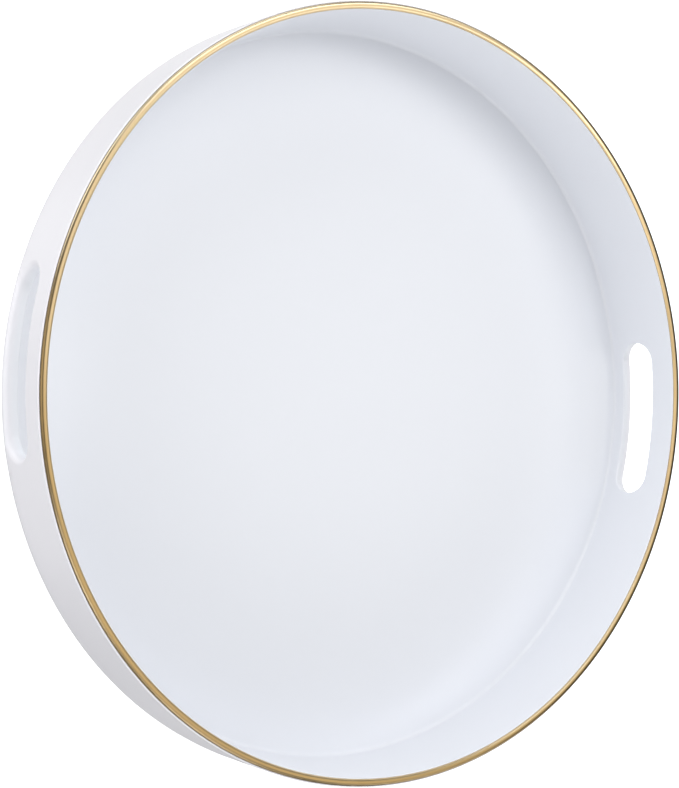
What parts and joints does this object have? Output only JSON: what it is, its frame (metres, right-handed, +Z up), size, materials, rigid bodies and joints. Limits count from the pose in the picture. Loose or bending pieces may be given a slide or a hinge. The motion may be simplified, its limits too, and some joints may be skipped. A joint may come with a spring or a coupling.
{
  "type": "vanity tray",
  "caption": "Round white dresser vanity tray with a flat floor, an upright wall with rounded handle slots, a half-round gold bead on the rim and rubber non-slip pads.",
  "frame": {"origin": "on the resting surface, under the centre of the round tray", "axes": "+Z up, out of the open face; the two handle slots face +X and -X; +Y is square to the line through the slots"},
  "size_m": [0.33, 0.33, 0.0425],
  "materials": {
    "body_white": "smooth satin gloss, moulded white",
    "rim_gold": "satin polished gold",
    "foot_rubber": "matt, fine grain"
  },
  "bodies": {
    "root": {"tray_body": "body_white", "gold_rim": "rim_gold", "foot_back_right": "foot_rubber", "foot_back_left": "foot_rubber", "foot_front_left": "foot_rubber", "foot_front_right": "foot_rubber"}
  },
  "joints": []
}
